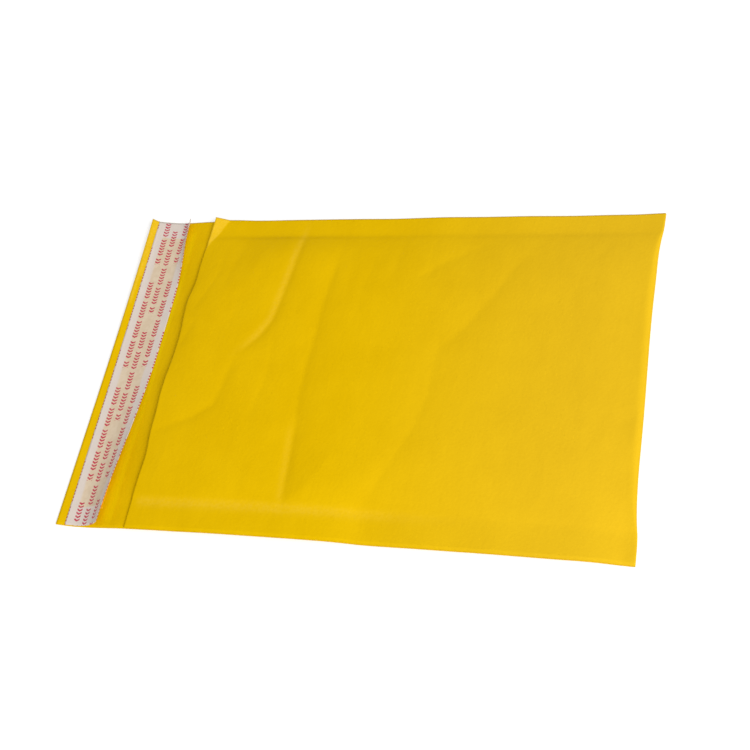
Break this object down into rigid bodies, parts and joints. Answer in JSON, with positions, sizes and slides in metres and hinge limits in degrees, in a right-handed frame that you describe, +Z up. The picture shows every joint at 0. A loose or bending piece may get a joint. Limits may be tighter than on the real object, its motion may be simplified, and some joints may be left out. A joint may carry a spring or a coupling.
{
  "type": "padded envelope",
  "caption": "Open padded envelope of yellow kraft paper with a bubble film lining, glued side seams and a peel-and-seal flap.",
  "frame": {"origin": "on the surface that the envelope lies on, under the middle of its whole open length and of its width", "axes": "+X along the envelope from the flap's tip to the bottom fold, +Y across it, +Z up out of the front panel"},
  "size_m": [0.3298, 0.216, 0.0101],
  "materials": {
    "kraft_paper": "smooth golden yellow kraft paper, slightly satin, with fine fibres and soft handling creases",
    "bubble_film": "clear thin polyethylene film with air bubbles",
    "seam_glue": "dried cream hot melt",
    "flap_adhesive": "amber pressure-sensitive hot melt",
    "liner_paper": null
  },
  "bodies": {
    "root": {"outer_paper": "kraft_paper", "bubble_lining": "bubble_film", "near_seam_glue": "seam_glue", "far_seam_glue": "seam_glue", "adhesive_strip": "flap_adhesive", "release_liner": "liner_paper"}
  },
  "joints": []
}
